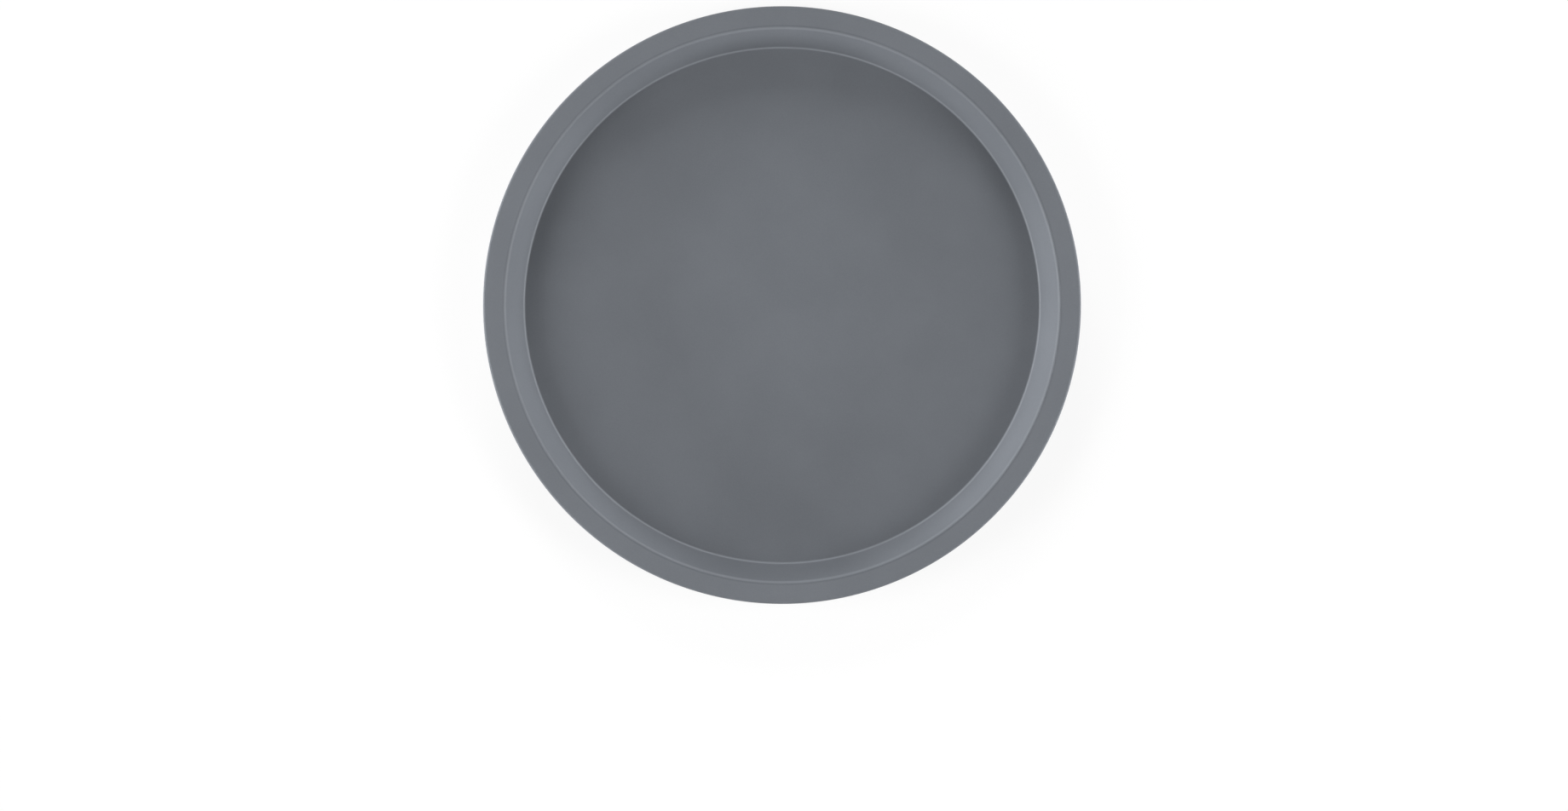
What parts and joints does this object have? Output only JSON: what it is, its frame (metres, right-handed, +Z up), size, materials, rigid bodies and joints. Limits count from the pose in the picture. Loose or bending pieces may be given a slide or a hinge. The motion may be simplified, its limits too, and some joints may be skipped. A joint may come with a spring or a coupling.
{
  "type": "pizza pan",
  "caption": "Round shallow baking pan pressed from sheet steel, with a flat floor, a leaning wall, a flat rim with a curled edge and a grey non-stick lining.",
  "frame": {"origin": "centre of the base, on the surface that the pan stands on", "axes": "+Z up along the pan's axis, out of the open side; the pan is round, so X and Y are any two level directions at right angles"},
  "size_m": [0.33, 0.33, 0.019],
  "materials": {
    "sheet_steel": "bare cold-rolled sheet, seen only at the cut edge inside the curl",
    "nonstick_lining": "satin dark grey non-stick film, smooth and new",
    "outer_coat": "satin dark grey heat-proof film, a little duller than the lining"
  },
  "bodies": {
    "root": {"pressed_steel_pan": "sheet_steel", "nonstick_lining": "nonstick_lining", "outer_coat": "outer_coat"}
  },
  "joints": []
}
